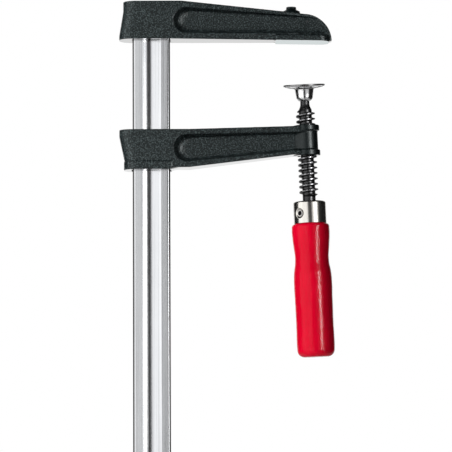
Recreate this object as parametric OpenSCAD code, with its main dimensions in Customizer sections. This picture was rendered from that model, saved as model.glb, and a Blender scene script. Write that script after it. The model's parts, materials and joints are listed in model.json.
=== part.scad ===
// F clamp with two cast arms on a grooved steel rail, a trapezoidal screw
// spindle with a swivelling pressure plate, and a turned wooden handle.
// Millimetres. +Z runs along the rail to the fixed arm, +X from the rail to the
// jaw, and the origin is the centre of the fixed jaw's clamping face.

/* [Clamp] */
// Widest gap between the jaw face and the pressure plate
opening = 300; // [220:5:500]
// Distance from the rail's inner edge to the spindle axis at the arm's boss
throat = 100; // [92:1:130]
// Gap from the jaw face to the pressure plate, with the plate square, as the clamp is shown
shown_gap = 31.5; // [28:0.5:60]
// Slope of the jaw face, which the load pulls square, in degrees
jaw_toe = 1; // [0:0.1:1.5]
// Lean of the spindle, which the load pulls square, in degrees
spindle_lean = 2.2; // [1.5:0.1:3]

/* [Rail] */
// Width of the rail
rail_w = 27.5; // [24:0.5:29]
// Thickness of the rail
rail_t = 13; // [11:0.5:14]
// Rounding of the rail's long edges
rail_edge_r = 2; // [1:0.25:3]
// Width of the groove in each wide face
groove_w = 14.3; // [10:0.5:16]
// Depth of the groove in each wide face
groove_d = 2.2; // [1:0.1:2.6]
// Length of rail below the stop pin
rail_tail = 10; // [7:1:25]

/* [Stop pin] */
// Diameter of the pin that keeps the sliding arm on the rail
stop_d = 5; // [4:0.5:7]
// How far the pin stands out of each wide face
stop_out = 4; // [2.5:0.5:5]

/* [Fixed arm] */
// Height of the head around the rail
head_h = 28; // [26:0.1:32]
// Thickness of both arms' heads across the rail
head_t = 24; // [22.5:0.5:27]
// Height of the head's underside over the jaw centre
head_low = 1.6; // [1:0.1:2.5]
// Wall outside the rail at the heel of the head
heel_wall = 9.8; // [8.8:0.1:12]
// Wall outside the rail at the far end of the head
crown_wall = 6.8; // [6.2:0.1:8]
// Height of the upright part of the heel
heel_h = 3; // [1:0.5:6]
// Height of the upright part of the crown
crown_h = 7; // [4:0.5:10]
// Rounding of the outer corners of both heads, seen along the rail
head_r = 9; // [5:0.5:10]
// Level run of the arm's top edge beyond the rail
top_run = 9; // [6:0.5:14]
// Height of the arm's top edge over the jaw face at the nub
nub_seat_h = 21.3; // [19.5:0.1:22.5]
// Thickness of the upper flange
top_flange = 3.7; // [3:0.1:4.5]
// Thickness of the lower flange
low_flange = 4; // [3:0.1:5]
// Thickness of both arms' webs
web_t = 9; // [7:0.5:11]
// Width of the flanges where they meet the jaw
flange_tip_w = 16; // [14.5:0.5:19]
// Solid metal between the rail and the round end of the arm's pocket
pocket_gap = 2.2; // [1.5:0.1:4]
// Drop of the pocket's top below the upper flange at the head
pocket_drop = 0.8; // [0:0.1:1.5]
// Height of the pocket's lower edge over the jaw pad at the nose
pocket_lift = 0.6; // [0.3:0.1:1.5]
// Thickness of the upper flange at the nub
tip_flange = 1.2; // [0.6:0.1:2.5]
// Slope of both arms' pocket walls, from the rim to the web
pocket_draft = 2; // [1:0.1:2.5]
// Slope of the round end of both arms' pockets, from the rim to the web
pocket_end_draft = 5; // [2.5:0.5:6]
// Radius of the nose
nose_r = 20.2; // [18.5:0.1:20.5]
// Distance from the jaw centre to the nose's centre of radius
nose_x = 1.5; // [1:0.1:2.5]

/* [Jaw] */
// Length of the jaw pad
pad_l = 39.3; // [36:0.1:40]
// Width of the jaw pad
pad_w = 22; // [20:0.5:26]
// Thickness of the jaw pad
pad_t = 4; // [3:0.1:5]
// How far the jaw pad stands out of the arm's underside
pad_proud = 0.4; // [0.2:0.1:1]
// Rounding of the jaw pad's tip corners
pad_tip_r = 7; // [3:0.5:9]
// Rounding of the jaw pad's inner corners
pad_root_r = 1.5; // [0.5:0.25:3]
// Distance from the jaw centre back to the nub on the arm
nub_back = 7.9; // [6:0.1:10]
// Diameter of the nub at its seat
nub_d = 13; // [12:0.5:15]
// Diameter of the nub's cap
nub_top_d = 7.4; // [5:0.1:9]
// Height of the nub over its seat
nub_h = 4.8; // [4:0.1:6]
// Height of the nub's upright cap
nub_cap_h = 2; // [1:0.1:3]
// Height of the nub's upright foot
nub_foot_h = 1.4; // [0.8:0.1:2]
// Diameter of the foot of the cone that carries the nub on the web
corbel_d = 8; // [6:0.5:11]
// Depth of the cone that carries the nub on the web
corbel_h = 5.5; // [4:0.5:8]

/* [Head key] */
// Width of the taper key that locks the head on the rail
key_w = 8; // [6:0.5:9]
// Thickness of the key at its driven end
key_t = 2.8; // [2:0.1:3.5]
// Taper of the key over its length
key_taper = 0.6; // [0.2:0.1:1]
// How far the key stops short of the head's underside
key_short = 2; // [1:0.5:5]

/* [Sliding arm] */
// Height of the sliding head, lip included
slide_h = 29.4; // [28:0.1:33]
// Height of the sliding head's top over the middle of the boss
slide_over = 7.9; // [6.5:0.1:8.5]
// Height of the upright part of the sliding head's heel
slide_heel_h = 5; // [3:0.5:8]
// Height of the lip round the head's lower end
lip_h = 5.9; // [4:0.1:8]
// Wall of the lip outside the rail
lip_wall = 6.4; // [6.2:0.1:8]
// Wall outside the rail just above the lip
waist_wall = 5.9; // [5.2:0.1:6.1]
// How far the lip stands out of the head's wide faces
lip_out = 0.5; // [0.2:0.1:1]
// How far the lip stands below the arm's lower edge
lip_drop = 1.4; // [0.5:0.1:3]
// Level run of the arm's edges beyond the rail
slide_run = 14; // [10:0.5:20]
// Solid metal between the rail and the round end of the arm's pocket
slide_pocket_gap = 2; // [1.5:0.1:4]
// Thickness of the upper flange
slide_top_flange = 3.6; // [3:0.1:4.2]
// Thickness of the lower flange
slide_low_flange = 4; // [3:0.1:4.6]
// Height of the threaded boss
boss_h = 22.4; // [21:0.1:24]
// Diameter of the boss between its rings
boss_d = 16.6; // [16:0.1:18]
// Diameter of the rings at both ends of the boss
ring_d = 19.4; // [18.8:0.1:21]
// Height of each ring
ring_h = 4.2; // [3:0.1:5]
// How far the rings stand out of the flanges all round
ring_out = 0.8; // [0.2:0.1:1]

/* [Spindle] */
// Outside diameter of the thread
thread_d = 14; // [13:0.5:14]
// Pitch of the thread
pitch = 4; // [3.5:0.5:4]
// Depth of the thread
thread_depth = 2.25; // [1.75:0.05:2.25]
// Distance from the pressure plate's face down to the boss
reach = 30.3; // [28:0.1:36]
// Distance from the pressure plate's face to the end of the neck's flare
neck_end = 18.6; // [18:0.1:22]
// Length of the neck's flare
flare_l = 4.2; // [2:0.1:5]
// Diameter of the neck
neck_d = 6.7; // [6:0.1:6.8]
// Bare length from the boss's lower ring to the ferrule
spindle_out = 33.6; // [32:0.1:45]
// Bare length of the core between the ferrule and the thread
thread_off = 3.2; // [0.3:0.1:6]
// Length of the plain tang inside the ferrule and the handle
tang_l = 48; // [34:1:60]
// How much thinner than the thread's core the tang is turned, on the radius
tang_under = 0.15; // [0.1:0.05:0.4]
// Diameter of the ball head in the plate
ball_head_d = 9.4; // [9:0.1:9.4]
// Height of the flat on the ball head over the ball centre
head_flat = 1; // [0.8:0.1:1.2]
// Diameter of the thrust ball between the head and the plate
thrust_d = 5.5; // [4.5:0.1:5.6]

/* [Pressure plate] */
// Nod of the loose plate to the front as the clamp is shown, in degrees
plate_nod = 6; // [0:0.5:7]
// Diameter of the plate's face
plate_d = 30.4; // [26:0.2:31]
// Thickness of the plate's rim
rim_t = 1; // [0.8:0.1:1.6]
// Chamfer of the plate's rim
rim_edge = 0.3; // [0.2:0.05:0.4]
// Depth of the cone under the plate
dish_h = 2.9; // [2.4:0.1:3.6]
// Diameter of the cup
cup_d = 13.3; // [12.9:0.1:14.5]
// Fillet between the cone and the cup
cup_fillet = 0.8; // [0.4:0.1:1.2]
// How much the cup narrows, on the radius, to its rolled edge
cup_draft = 0.5; // [0.1:0.05:0.6]
// Depth from the plate's face to the ball centre
ball_depth = 6.6; // [6.3:0.1:7]
// Depth from the ball centre to the cup's rolled edge
cup_below = 6.2; // [5.8:0.1:6.4]
// Height of the socket's ceiling over the ball centre
socket_rise = 1.9; // [1.7:0.1:2.1]
// Diameter of the mouth that the rolled edge leaves
mouth_d = 8.6; // [8.5:0.1:8.7]
// Rounding of the rolled edge
cup_r = 4.2; // [2.4:0.1:4.4]

/* [Handle] */
// Outside diameter of the ferrule
ferrule_d = 23.9; // [22:0.1:25]
// Length of the ferrule
ferrule_l = 16.5; // [14:0.1:20]
// Wall of the ferrule
ferrule_wall = 1.4; // [1:0.1:2]
// Rounding of the ferrule's upper edge
ferrule_r = 1.4; // [1:0.1:2.5]
// Diameter of the cross pin
pin_d = 4.3; // [3.5:0.1:5]
// Diameter of the cross pin's bore
pin_bore = 3; // [1.5:0.1:3.2]
// Diameter of the dimple round each end of the pin
dimple_d = 8; // [6.5:0.1:9]
// Depth of the dimple at its centre line
dimple_depth = 1.2; // [0.8:0.1:1.4]
// Distance from the ferrule's top to the pin
pin_drop = 9; // [7:0.1:10]
// Turn of the pin from the front towards the rail, in degrees
pin_turn = 42; // [0:1:90]
// Length of the wooden handle below the ferrule
handle_l = 97.4; // [80:0.5:120]
// Diameter of the handle's upper bulge
handle_top_d = 27.7; // [25:0.1:29]
// Diameter of the handle's waist
handle_waist_d = 24.8; // [22:0.1:25]
// Diameter of the handle's grip at its thickest
handle_grip_d = 28; // [25:0.1:29.5]
// Diameter of the handle where the grip thins again
handle_belly_d = 27.4; // [25:0.1:29]
// Diameter of the handle before its lower rounding
handle_end_d = 27.8; // [25:0.1:29.5]
// Length of the straight part of the upper bulge
bulge_l = 7; // [5:0.5:10]
// Distance from the handle's top to the waist
waist_at = 24; // [20:0.5:30]
// Distance from the handle's top to the thickest part of the grip
grip_at = 43; // [38:0.5:50]
// Distance from the handle's top to the thinner part of the grip
belly_at = 67; // [58:0.5:70]
// Rounding of the handle's lower end
handle_end_r = 5; // [3:0.5:9]
// Rounding of the handle's shoulder under the ferrule
handle_shoulder_r = 2.2; // [1:0.1:3]
// Room in the handle past the end of the tang
tang_room = 1; // [0.5:0.5:4]

/* [Fits] */
// Play of the sliding head on the rail's edges
play_edge = 0.6; // [0.4:0.05:1]
// Play of the sliding head on the rail's wide faces
play_face = 0.4; // [0.3:0.05:0.6]
// Play of driven and pressed pieces
seat_play = 0.05; // [0.02:0.01:0.08]
// Play of the spindle in its thread, measured on the radius
thread_play = 0.25; // [0.2:0.05:0.3]
// Play of the thrust ball in its seats
thrust_play = 0.08; // [0.05:0.01:0.1]
// Play of the plate on the spindle's ball head
swivel_play = 0.25; // [0.2:0.05:0.3]

/* [Hidden] */
$fn = 96;
// A cut runs this far past the face it opens
over = 0.5;
// Thin slabs that a hull joins
slab = 0.02;
hull_fn = 32;
// The heads' plans run this far past the rail, into the arms
head_lap = 1;
thread_steps = 30;
grip_steps = 24;
// Clearance between the thread's ends and what they meet
thread_gap = 0.3;
// Turns of the tapped groove past each end of the boss
spare_turns = 2;
// Share of the thread's height that is left where it starts
ridge_least = 0.04;

// Spindle frame: zero at the middle of the pressure plate's face, z to the jaw
boss_top = -reach;
boss_low = -reach - boss_h;
boss_mid = -reach - boss_h / 2;
ferrule_top = boss_low - spindle_out;
handle_top = ferrule_top - ferrule_l;
ball_z = -ball_depth;
core_r = thread_d / 2 - thread_depth;
// The thread has the 30 degree trapezoidal form
crest_share = 0.366;
flank_deg = 15;
crest_w = crest_share * pitch;
flank_w = thread_depth * tan(flank_deg);
tang_r = core_r - tang_under;
tenon_r = ferrule_d / 2 - ferrule_wall - seat_play;
// The ridge runs from the ferrule to the neck, and the boss's groove is its continuation
thread_low = ferrule_top + thread_gap;
thread_high = -neck_end;
ridge_half = crest_w / 2 + flank_w;
ridge_start = thread_low + ridge_half + thread_off;
ridge_end = thread_high - ridge_half - thread_gap;
ridge_steps = floor((ridge_end - ridge_start) / pitch * thread_steps);
groove_start = ridge_start + pitch * floor((boss_low - ridge_start) / pitch - spare_turns);
groove_turns = ceil(boss_h / pitch) + spare_turns + 1;

// Where the boss and the rail stand in the clamp's frame
boss_z = (boss_mid - shown_gap) * cos(spindle_lean);
boss_x = (shown_gap - boss_mid) * sin(spindle_lean);
rail_in = boss_x - throat;
rail_x = rail_in - rail_w / 2;
rail_out = rail_in - rail_w;
head_top = head_low + head_h;
slide_top = boss_z + slide_over;
slide_low = slide_top - slide_h;
arm_low = slide_low + lip_drop;
// The sliding arm drops until the plate, wound back, stands at the opening
wound_back = 16;
stop_gap = 1;
arm_drop = opening - shown_gap - wound_back;
stop_z = slide_low - arm_drop - stop_gap - stop_d / 2;
rail_low = stop_z - rail_tail;

// A rectangle from x0 to x1, rounded by r at its x0 corners
module blunt_plan(x0, x1, width, r) {
  translate([x0 + r, -width / 2]) square([x1 - x0 - r, width]);
  translate([x0, r - width / 2]) square([r, width - 2 * r]);
  for (s = [-1, 1]) translate([x0 + r, s * (width / 2 - r)]) circle(r);
}

// Lays a drawing of the side view upright, centred on the rail's mid-plane
module side(width) {
  rotate([90, 0, 0]) linear_extrude(width, center = true) children();
}

// Puts a piece on the spindle's axis
module on_spindle() {
  rotate([0, -spindle_lean, 0]) translate([0, 0, -shown_gap]) children();
}

// Tips a piece about the middle of the spindle's ball head
module on_ball() {
  on_spindle() translate([0, 0, ball_z]) rotate([plate_nod, 0, 0])
    translate([0, 0, -ball_z]) children();
}

// Turns a piece to the direction of the cross pin
module on_pin() {
  on_spindle() translate([0, 0, ferrule_top - pin_drop])
    rotate([0, 0, 90 - pin_turn]) rotate([0, 90, 0]) children();
}

module rail_plan() {
  groove_r = (groove_w * groove_w / 4 + groove_d * groove_d) / (2 * groove_d);
  difference() {
    union() {
      square([rail_w - 2 * rail_edge_r, rail_t], center = true);
      square([rail_w, rail_t - 2 * rail_edge_r], center = true);
      for (sx = [-1, 1], sy = [-1, 1])
        translate([sx * (rail_w / 2 - rail_edge_r), sy * (rail_t / 2 - rail_edge_r)])
          circle(rail_edge_r);
    }
    for (sy = [-1, 1])
      translate([0, sy * (rail_t / 2 - groove_d + groove_r)]) circle(groove_r);
  }
}

module rail() {
  color("silver") difference() {
    translate([rail_x, 0, rail_low]) linear_extrude(head_top - rail_low) rail_plan();
    translate([rail_x, 0, stop_z]) rotate([90, 0, 0])
      cylinder(d = stop_d + 2 * seat_play, h = rail_t + 2 * over, center = true);
  }
}

module stop_pin() {
  color("dimgray") translate([rail_x, 0, stop_z]) rotate([90, 0, 0])
    cylinder(d = stop_d, h = rail_t + 2 * stop_out, center = true);
}

// The taper key lies between the rail's outer edge and the head
module key_side(grow) {
  x = rail_out - seat_play;
  z0 = head_low + key_short;
  polygon([[x + grow, z0 - grow], [x + grow, head_top + grow],
           [x - key_t - grow, head_top + grow],
           [x - key_t + key_taper - grow, z0 - grow]]);
}

module head_key() {
  color("dimgray") side(key_w) key_side(0);
}

// Side view of the fixed arm from inside the head to the end of the nose
module fixed_side() {
  pad_back = [-pad_l / 2 * cos(jaw_toe), pad_l / 2 * sin(jaw_toe) + pad_proud];
  polygon([[rail_x, head_low], [rail_in, head_low], pad_back,
           [nose_x, pad_proud], [nose_x, nose_r], [-nub_back, nub_seat_h],
           [rail_in + top_run, head_top], [rail_x, head_top]]);
  intersection() {
    translate([nose_x, 0]) circle(nose_r);
    translate([nose_x, pad_proud]) square([nose_r, nose_r]);
  }
}

// Plan of both arms: flanges that narrow from the head to the tip
module arm_plan(tip_x, tip_w, end_x, end_w) {
  polygon([[rail_x, -head_t / 2], [rail_in, -head_t / 2], [tip_x, -tip_w / 2],
           [end_x, -end_w / 2], [end_x, end_w / 2], [tip_x, tip_w / 2],
           [rail_in, head_t / 2], [rail_x, head_t / 2]]);
}

// A drafted pocket beside the web, round at the head and open past the tip
module pocket(x0, top0, low0, x1, top1, low1) {
  r0 = (top0 - low0) / 2;
  r1 = pocket_draft / 2;
  for (s = [-1, 1]) hull() {
    translate([0, s * (head_t / 2 + over), 0]) side(slab) {
      translate([x0 + r0, (top0 + low0) / 2]) circle(r0, $fn = hull_fn);
      for (z = [top1 - r1, low1 + r1]) translate([x1, z]) circle(r1, $fn = hull_fn);
    }
    translate([0, s * web_t / 2, 0]) side(slab) {
      translate([x0 + pocket_end_draft + r0 - pocket_draft, (top0 + low0) / 2])
        circle(r0 - pocket_draft, $fn = hull_fn);
      for (z = [top1 - r1 - pocket_draft, low1 + r1 + pocket_draft])
        translate([x1, z]) circle(r1, $fn = hull_fn);
    }
  }
}

module pad_plan() {
  half = pad_l / 2;
  w = pad_w / 2;
  translate([pad_root_r - half, -w]) square([pad_l - pad_root_r - pad_tip_r, pad_w]);
  translate([-half, pad_root_r - w]) square([pad_root_r, pad_w - 2 * pad_root_r]);
  translate([half - pad_tip_r, pad_tip_r - w]) square([pad_tip_r, pad_w - 2 * pad_tip_r]);
  for (s = [-1, 1]) {
    translate([pad_root_r - half, s * (w - pad_root_r)]) circle(pad_root_r);
    translate([half - pad_tip_r, s * (w - pad_tip_r)]) circle(pad_tip_r);
  }
}

module jaw_pad() {
  rotate([0, jaw_toe, 0]) linear_extrude(pad_t) pad_plan();
}

// The nub over the jaw, with the cone that carries it on the web
module nub() {
  translate([-nub_back, 0, nub_seat_h - over]) {
    cylinder(d = nub_d, h = nub_foot_h + over);
    translate([0, 0, nub_foot_h + over])
      cylinder(d1 = nub_d, d2 = nub_top_d, h = nub_h - nub_foot_h - nub_cap_h);
    cylinder(d = nub_top_d, h = nub_h + over);
    translate([0, 0, -corbel_h]) cylinder(d1 = corbel_d, d2 = nub_d, h = corbel_h);
  }
}

module fixed_head() {
  x1 = rail_in + head_lap;
  slant = head_h - heel_h - crown_h;
  hull() {
    translate([0, 0, head_low]) linear_extrude(heel_h)
      blunt_plan(rail_out - heel_wall, x1, head_t, head_r, $fn = hull_fn);
    translate([0, 0, head_low + heel_h + slant]) linear_extrude(slab)
      blunt_plan(rail_out - crown_wall, x1, head_t, head_r, $fn = hull_fn);
  }
  translate([0, 0, head_top - crown_h]) linear_extrude(crown_h)
    blunt_plan(rail_out - crown_wall, x1, head_t, head_r);
}

module fixed_arm() {
  nose_end = nose_x + nose_r + over;
  pocket_x = rail_in + pocket_gap;
  pocket_top = head_top - top_flange - pocket_drop;
  pocket_slope = (nub_seat_h - tip_flange - pocket_top) / (-nub_back - pocket_x);
  color("#343735") difference() {
    union() {
      difference() {
        union() {
          fixed_head();
          intersection() {
            side(head_t) fixed_side();
            translate([0, 0, -over]) linear_extrude(head_top + 2 * over)
              arm_plan(-nub_back - nub_d / 2, flange_tip_w, nose_end, web_t);
          }
        }
        pocket(pocket_x, pocket_top, head_low + low_flange,
               nose_end, pocket_top + pocket_slope * (nose_end - pocket_x), pad_t + pocket_lift);
      }
      jaw_pad();
      nub();
    }
    translate([rail_x, 0, head_low - over]) linear_extrude(head_h + 2 * over)
      square([rail_w + 2 * seat_play, rail_t + 2 * seat_play], center = true);
    side(key_w + 2 * seat_play) key_side(seat_play / 2);
  }
}

module slide_side() {
  boss_r = boss_d / 2;
  c = cos(spindle_lean);
  s = sin(spindle_lean);
  top_x = (shown_gap - boss_top) * s;
  top_z = (boss_top - shown_gap) * c;
  low_x = (shown_gap - boss_low) * s;
  low_z = (boss_low - shown_gap) * c;
  polygon([[rail_x, slide_top], [rail_in + slide_run, slide_top],
           [top_x - boss_r * c, top_z - boss_r * s - ring_out], [top_x, top_z - ring_out],
           [low_x, low_z + ring_out], [low_x - boss_r * c, low_z - boss_r * s + ring_out],
           [rail_in + slide_run, arm_low], [rail_x, arm_low]]);
}

module slide_head() {
  x1 = rail_in + head_lap;
  hull() {
    translate([0, 0, slide_top - slide_heel_h]) linear_extrude(slide_heel_h)
      blunt_plan(rail_out - heel_wall, x1, head_t, head_r, $fn = hull_fn);
    translate([0, 0, slide_low + lip_h]) linear_extrude(slab)
      blunt_plan(rail_out - waist_wall, x1, head_t, head_r, $fn = hull_fn);
  }
  translate([0, 0, slide_low]) linear_extrude(lip_h)
    blunt_plan(rail_out - lip_wall, x1, head_t + 2 * lip_out, head_r);
}

// A threaded rod from z0 to z1 with one ridge that winds from start upwards
module thread(z0, z1, start, steps, root_r, crest_r, crest, flank, fade) {
  n = thread_steps;
  last = steps;
  rise = pitch / n;
  root = crest / 2 + flank;
  height = [for (i = [0:last]) fade == 0 ? 1 : max(ridge_least, min(1, i / fade, (last - i) / fade))];
  ridge = [for (i = [0:last])
    let(a = 360 * i / n, z = start + rise * i, r = root_r + (crest_r - root_r) * height[i])
    each [[root_r * cos(a), root_r * sin(a), z - root], [r * cos(a), r * sin(a), z - crest / 2],
          [r * cos(a), r * sin(a), z + crest / 2], [root_r * cos(a), root_r * sin(a), z + root]]];
  base = 4 * (last + 1);
  ring0 = [for (i = [0:n - 1]) [root_r * cos(360 * i / n), root_r * sin(360 * i / n), z0]];
  ring1 = [for (i = [0:n - 1]) [root_r * cos(360 * i / n), root_r * sin(360 * i / n), z1]];
  sides = [for (i = [0:last - 1], k = [0:2])
    each [[4 * i + k, 4 * i + k + 1, 4 * i + 4 + k], [4 * i + k + 1, 4 * i + 5 + k, 4 * i + 4 + k]]];
  roots = [for (i = [0:last - n - 1])
    each [[4 * i + 3, 4 * (i + n), 4 * i + 7], [4 * (i + n), 4 * (i + n + 1), 4 * i + 7]]];
  // The bands that close the ends, which split at the ridge's first and last section
  low = [for (i = [0:n - 2])
    each [[base + i, 4 * i, base + i + 1], [4 * i, 4 * i + 4, base + i + 1]]];
  low_seam = [[base + n - 1, 4 * (n - 1), 4 * n], [base + n - 1, 4 * n, 3],
              [base + n - 1, 3, 0], [base + n - 1, 0, base]];
  e = last - n;
  high = [for (i = [1:n - 1])
    each [[4 * (e + i) + 3, base + n + (e + i) % n, 4 * (e + i) + 7],
          [base + n + (e + i) % n, base + n + (e + i + 1) % n, 4 * (e + i) + 7]]];
  q0 = base + n + e % n;
  q1 = base + n + (e + 1) % n;
  high_seam = [[4 * e + 7, 4 * e + 3, 4 * last], [4 * e + 7, 4 * last, 4 * last + 3],
               [4 * e + 7, 4 * last + 3, q0], [4 * e + 7, q0, q1]];
  ends = [[0, 2, 1], [0, 3, 2], [4 * last, 4 * last + 1, 4 * last + 2],
          [4 * last, 4 * last + 2, 4 * last + 3]];
  caps = [[for (i = [0:n - 1]) base + i], [for (i = [n - 1:-1:0]) base + n + i]];
  polyhedron(concat(ridge, ring0, ring1),
             concat(sides, roots, low, low_seam, high, high_seam, ends, caps), convexity = 10);
}

module tapped_hole() {
  thread(groove_start - spare_turns * pitch, boss_top + (spare_turns + 1) * pitch, groove_start,
         thread_steps * groove_turns, core_r + thread_play, thread_d / 2 + thread_play,
         crest_w + 2 * thread_play, flank_w, 0);
}

module sliding_arm() {
  tip_w = ring_d - 2 * ring_out;
  color("#343735") difference() {
    union() {
      difference() {
        union() {
          slide_head();
          intersection() {
            side(head_t) slide_side();
            translate([0, 0, slide_low]) linear_extrude(slide_h + 2 * slide_over)
              arm_plan(boss_x - ring_d / 2, tip_w, boss_x + ring_d / 2, tip_w);
          }
        }
        pocket(rail_in + slide_pocket_gap, slide_top - slide_top_flange, arm_low + slide_low_flange,
               boss_x + ring_d / 2, (boss_top - shown_gap) * cos(spindle_lean) - ring_h,
               (boss_low - shown_gap) * cos(spindle_lean) + ring_h);
      }
      on_spindle() translate([0, 0, boss_low]) {
        cylinder(d = boss_d, h = boss_h);
        cylinder(d = ring_d, h = ring_h);
        translate([0, 0, boss_h - ring_h]) cylinder(d = ring_d, h = ring_h);
      }
    }
    translate([rail_x, 0, slide_low - over]) linear_extrude(slide_h + 2 * over)
      square([rail_w + 2 * play_edge, rail_t + 2 * play_face], center = true);
    on_spindle() tapped_hole();
  }
}

// Ball head and neck, with a hollow flare from the neck to the thread's core
module spindle_nose() {
  r = ball_head_d / 2;
  neck_r = neck_d / 2;
  difference() {
    union() {
      translate([0, 0, ball_z]) sphere(r);
      rotate_extrude() polygon([[0, thread_high - over], [tang_r, thread_high - over],
                                for (a = [0:15:90]) [tang_r - (tang_r - neck_r) * sin(a),
                                                     thread_high + flare_l * a / 90],
                                [neck_r, ball_z], [0, ball_z]]);
    }
    translate([0, 0, ball_z + head_flat]) cylinder(r = 2 * r, h = 2 * r);
    translate([0, 0, ball_z]) cylinder(d = thrust_d + 2 * thrust_play, h = 2 * r);
    translate([0, 0, ball_z]) sphere(d = thrust_d + 2 * thrust_play);
  }
}

module spindle() {
  color("#3c3c3e") difference() {
    on_spindle() {
      spindle_nose();
      thread(thread_low, thread_high, ridge_start, ridge_steps, core_r, thread_d / 2,
             crest_w, flank_w, thread_steps / 3);
      translate([0, 0, ferrule_top - tang_l])
        cylinder(r = tang_r, h = tang_l + thread_gap + over);
    }
    on_pin() cylinder(d = pin_d + 2 * seat_play, h = ferrule_d, center = true);
  }
}

module thrust_ball() {
  color("white") on_spindle() translate([0, 0, ball_z]) sphere(d = thrust_d);
}

module plate_profile() {
  r = plate_d / 2;
  cup = cup_d / 2;
  low = ball_z - cup_below;
  roll = cup - cup_draft - cup_r;
  polygon([[0, 0], [r - rim_edge, 0], [r, -rim_edge], [r, -rim_t],
           [cup + cup_fillet, -dish_h], [cup, -dish_h - cup_fillet],
           for (a = [0:15:90]) [roll + cup_r * cos(a), low + cup_r - cup_r * sin(a)],
           [0, low]]);
}

module pressure_plate() {
  big = ball_head_d / 2 + swivel_play;
  color("gainsboro") on_ball() difference() {
    rotate_extrude() plate_profile();
    intersection() {
      translate([0, 0, ball_z]) sphere(big);
      translate([0, 0, ball_z + socket_rise - 4 * big]) cylinder(r = 2 * big, h = 4 * big);
    }
    translate([0, 0, ball_z]) sphere(d = thrust_d + 2 * thrust_play);
    translate([0, 0, ball_z - 2 * cup_below]) cylinder(d = mouth_d, h = 2 * cup_below);
  }
}

module ferrule_profile(r, top, r_edge) {
  union() {
    translate([0, top - ferrule_l]) square([r, ferrule_l - r_edge]);
    square_top = r - r_edge;
    translate([0, top - r_edge]) square([square_top, r_edge]);
    intersection() {
      translate([square_top, top - r_edge]) circle(r_edge);
      translate([0, top - ferrule_l]) square([r, ferrule_l]);
    }
  }
}

module ferrule() {
  color("silver") difference() {
    on_spindle() difference() {
      rotate_extrude() ferrule_profile(ferrule_d / 2, ferrule_top, ferrule_r);
      translate([0, 0, ferrule_top - ferrule_l - over])
        cylinder(r = tenon_r + seat_play, h = ferrule_l + over - ferrule_wall);
      translate([0, 0, ferrule_top - ferrule_l])
        cylinder(r = tang_r + seat_play, h = ferrule_l + over);
    }
    on_pin() {
      cylinder(d = pin_d + 2 * seat_play, h = 2 * ferrule_d, center = true);
      for (s = [0, 180]) rotate([s, 0, 0]) translate([0, 0, ferrule_d / 2 - dimple_depth])
        cylinder(d1 = pin_d, d2 = dimple_d + (dimple_d - pin_d), h = 2 * dimple_depth);
    }
  }
}

// The pin is tubular and its ends are set in the dimples
module ferrule_pin() {
  color("silver") on_pin() difference() {
    cylinder(d = pin_d, h = ferrule_d - dimple_depth, center = true);
    cylinder(d = pin_bore, h = ferrule_d, center = true);
  }
}

// Half a cosine wave from a to b as t goes from 0 to 1
function ease(a, b, t) = a + (b - a) * (1 - cos(180 * t)) / 2;

// Radius of the handle at a depth below its top, without its ends' roundings
function handle_r(s) =
  s < bulge_l ? handle_top_d / 2 :
  s < waist_at ? ease(handle_top_d, handle_waist_d, (s - bulge_l) / (waist_at - bulge_l)) / 2 :
  s < grip_at ? ease(handle_waist_d, handle_grip_d, (s - waist_at) / (grip_at - waist_at)) / 2 :
  s < belly_at ? ease(handle_grip_d, handle_belly_d, (s - grip_at) / (belly_at - grip_at)) / 2 :
  ease(handle_belly_d, handle_end_d, (s - belly_at) / (handle_l - belly_at)) / 2;

module handle() {
  shoulder = handle_shoulder_r;
  body_l = handle_l - shoulder - handle_end_r;
  end_z = handle_top - handle_l;
  r_end = handle_r(handle_l - handle_end_r) - handle_end_r;
  r_top = handle_top_d / 2 - shoulder;
  color("#c8102e") difference() {
    on_spindle() difference() {
      union() {
        rotate_extrude() polygon([
          [0, handle_top],
          for (a = [0:15:90]) [r_top + shoulder * sin(a), handle_top - shoulder * (1 - cos(a))],
          for (i = [1:grip_steps - 1]) let(s = shoulder + body_l * i / grip_steps)
            [handle_r(s), handle_top - s],
          for (a = [0:15:90]) [r_end + handle_end_r * cos(a), end_z + handle_end_r * (1 - sin(a))],
          [0, end_z]]);
        translate([0, 0, handle_top - over])
          cylinder(r = tenon_r, h = ferrule_l - ferrule_wall - seat_play + over);
      }
      translate([0, 0, ferrule_top - tang_l - tang_room])
        cylinder(r = tang_r + seat_play, h = tang_l + tang_room + over);
    }
    on_pin() cylinder(d = pin_d + 2 * seat_play, h = ferrule_d, center = true);
  }
}

rail();
stop_pin();
fixed_arm();
head_key();
sliding_arm();
spindle();
thrust_ball();
pressure_plate();
ferrule();
ferrule_pin();
handle();
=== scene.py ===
# F clamp: a cast fixed arm and a cast sliding arm on a grooved rail, with a screw spindle,
# a swivelling pressure plate and a turned wooden handle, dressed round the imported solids.
import json
import math
import bmesh
import bpy
import numpy as np
from mathutils import Matrix, Vector, noise


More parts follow.
